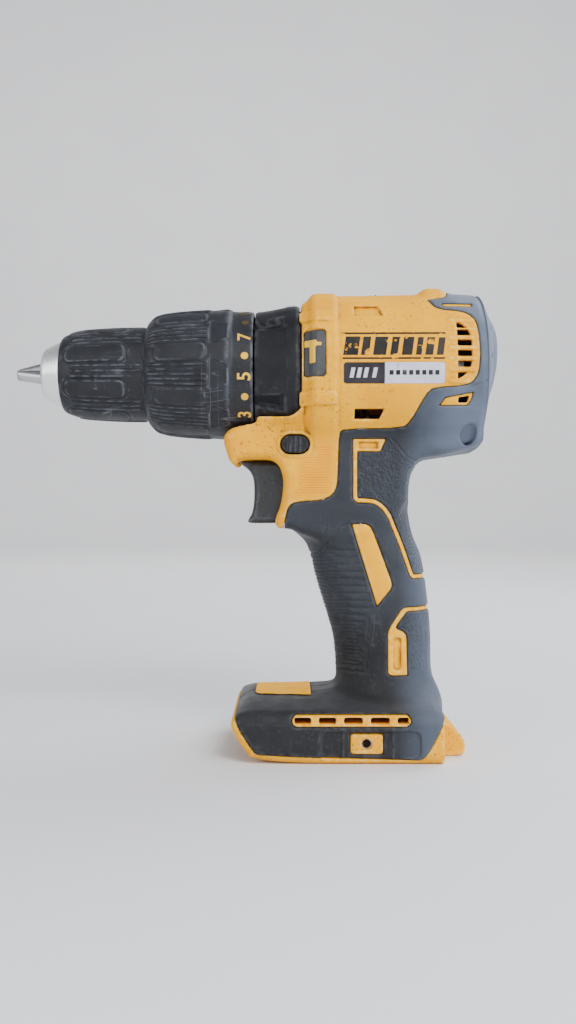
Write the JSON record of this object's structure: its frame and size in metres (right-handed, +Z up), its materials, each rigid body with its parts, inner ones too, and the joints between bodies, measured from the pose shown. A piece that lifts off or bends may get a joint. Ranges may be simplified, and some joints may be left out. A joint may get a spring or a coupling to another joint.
{
  "type": "cordless drill",
  "caption": "Pistol-grip cordless hammer drill, bare tool with keyless chuck, torque collar, trigger, rubber-covered grip and slide-on battery foot.",
  "frame": {"origin": "middle of the footprint, on the plane the foot stands on", "axes": "+Z up, the chuck points to -X, the operator's left is -Y"},
  "size_m": [0.198, 0.066, 0.1874],
  "materials": {
    "yellow_shell": "fine matte texture, dusty and grimy",
    "black_rubber": "matte moulded rubber",
    "black_plastic": "matte, worn pale at the edges",
    "sleeve_black": "satin, scuffed",
    "steel": "brushed",
    "motor_plate": "cast",
    "stator": "laminations and copper windings",
    "circuit_board": "green board",
    "contact_brass": "plated contact",
    "selector": "matte",
    "clear_lens": "clear"
  },
  "bodies": {
    "housing": {"housing_left": "yellow_shell", "housing_right": "yellow_shell", "overmold_left": "black_rubber", "overmold_right": "black_rubber", "rear_cap": "black_rubber", "housing_screw_1": "steel", "housing_screw_2": "steel", "housing_screw_3": "steel", "housing_screw_4": "steel", "housing_screw_5": "steel", "housing_screw_6": "steel", "housing_screw_7": "steel", "gear_case": "black_plastic", "spindle_bearing": "steel", "motor_plate": "motor_plate", "ring_gear_1": "steel", "ring_gear_2": "steel", "clutch_plate": "steel", "clutch_spring": "steel", "stator": "stator", "sensor_board": "circuit_board", "front_bearing": "steel", "rear_bearing": "steel", "switch_module": "black_plastic", "trigger_spring": "steel", "control_board": "circuit_board", "terminal_block": "black_plastic", "battery_blade_1": "contact_brass", "battery_blade_2": "contact_brass", "battery_blade_3": "contact_brass", "belt_hook_nut_left": "steel", "belt_hook_nut_right": "steel", "led_lens": "clear_lens"},
    "spindle": {"spindle": "steel", "chuck_body": "steel", "chuck_screw": "steel"},
    "chuck_sleeve": {"chuck_sleeve": "sleeve_black", "chuck_nut": "steel"},
    "jaw_1": {"jaw_1": "steel"},
    "jaw_2": {"jaw_2": "steel"},
    "jaw_3": {"jaw_3": "steel"},
    "clutch_collar": {"clutch_collar": "black_plastic"},
    "rotor": {"rotor": "steel", "motor_shaft": "steel", "fan": "black_plastic"},
    "carrier_1": {"carrier_1": "steel"},
    "planet_1_1": {"planet_1_1": "steel"},
    "planet_1_2": {"planet_1_2": "steel"},
    "planet_1_3": {"planet_1_3": "steel"},
    "planet_2_1": {"planet_2_1": "steel"},
    "planet_2_2": {"planet_2_2": "steel"},
    "planet_2_3": {"planet_2_3": "steel"},
    "trigger": {"trigger": "black_plastic"},
    "direction_lever": {"direction_lever": "black_plastic"},
    "speed_selector": {"speed_selector": "selector"}
  },
  "joints": [
    {"name": "spindle_turn", "type": "hinge", "parent": "housing", "child": "spindle", "pos_m": [0, 0, 0.154], "axis": [1, 0, 0], "continuous": true},
    {"name": "rotor_turn", "type": "hinge", "parent": "housing", "child": "rotor", "pos_m": [0.046, 0, 0.154], "axis": [1, 0, 0], "continuous": true},
    {"name": "carrier_1_turn", "type": "hinge", "parent": "housing", "child": "carrier_1", "pos_m": [0.025, 0, 0.154], "axis": [1, 0, 0], "continuous": true},
    {"name": "planet_1_1_turn", "type": "hinge", "parent": "carrier_1", "child": "planet_1_1", "pos_m": [0.0276, 0, 0.16615], "axis": [1, 0, 0], "continuous": true},
    {"name": "planet_1_2_turn", "type": "hinge", "parent": "carrier_1", "child": "planet_1_2", "pos_m": [0.0276, -0.01052, 0.14793], "axis": [1, 0, 0], "continuous": true},
    {"name": "planet_1_3_turn", "type": "hinge", "parent": "carrier_1", "child": "planet_1_3", "pos_m": [0.0276, 0.01052, 0.14793], "axis": [1, 0, 0], "continuous": true},
    {"name": "planet_2_1_turn", "type": "hinge", "parent": "spindle", "child": "planet_2_1", "pos_m": [0.0146, 0, 0.1675], "axis": [1, 0, 0], "continuous": true},
    {"name": "planet_2_2_turn", "type": "hinge", "parent": "spindle", "child": "planet_2_2", "pos_m": [0.0146, -0.01169, 0.14725], "axis": [1, 0, 0], "continuous": true},
    {"name": "planet_2_3_turn", "type": "hinge", "parent": "spindle", "child": "planet_2_3", "pos_m": [0.0146, 0.01169, 0.14725], "axis": [1, 0, 0], "continuous": true},
    {"name": "chuck_sleeve_turn", "type": "hinge", "parent": "spindle", "child": "chuck_sleeve", "pos_m": [-0.079, 0, 0.154], "axis": [1, 0, 0], "range_deg": [0, 5580]},
    {"name": "jaw_1_slide", "type": "slide", "parent": "spindle", "child": "jaw_1", "axis": [0.9659, 0, 0.2588], "range_m": [0, 0.0247]},
    {"name": "jaw_2_slide", "type": "slide", "parent": "spindle", "child": "jaw_2", "axis": [0.9659, -0.2241, -0.1294], "range_m": [0, 0.0247]},
    {"name": "jaw_3_slide", "type": "slide", "parent": "spindle", "child": "jaw_3", "axis": [0.9659, 0.2241, -0.1294], "range_m": [0, 0.0247]},
    {"name": "clutch_collar_turn", "type": "hinge", "parent": "housing", "child": "clutch_collar", "pos_m": [0, 0, 0.154], "axis": [1, 0, 0], "range_deg": [-162, 126]},
    {"name": "trigger_pull", "type": "slide", "parent": "housing", "child": "trigger", "axis": [1, 0, 0], "range_m": [0, 0.006], "stiffness_N_per_m": 600, "springref_m": -0.004, "deforming": ["trigger_spring"]},
    {"name": "direction_slide", "type": "slide", "parent": "housing", "child": "direction_lever", "axis": [0, 1, 0], "range_m": [-0.0035, 0.0035]},
    {"name": "speed_selector_slide", "type": "slide", "parent": "housing", "child": "speed_selector", "axis": [1, 0, 0], "range_m": [0, 0.008]}
  ],
  "couplings": [
    {"joint": "rotor_turn", "follows": "spindle_turn", "ratio": 15},
    {"joint": "carrier_1_turn", "follows": "spindle_turn", "ratio": 3.3333},
    {"joint": "planet_1_1_turn", "follows": "spindle_turn", "ratio": -9.3333},
    {"joint": "planet_1_2_turn", "follows": "spindle_turn", "ratio": -9.3333},
    {"joint": "planet_1_3_turn", "follows": "spindle_turn", "ratio": -9.3333},
    {"joint": "planet_2_1_turn", "follows": "spindle_turn", "ratio": -3.5},
    {"joint": "planet_2_2_turn", "follows": "spindle_turn", "ratio": -3.5},
    {"joint": "planet_2_3_turn", "follows": "spindle_turn", "ratio": -3.5},
    {"joint": "jaw_1_slide", "follows": "chuck_sleeve_turn", "m_per_rad": 0.00025266},
    {"joint": "jaw_2_slide", "follows": "chuck_sleeve_turn", "m_per_rad": 0.00025266},
    {"joint": "jaw_3_slide", "follows": "chuck_sleeve_turn", "m_per_rad": 0.00025266}
  ]
}
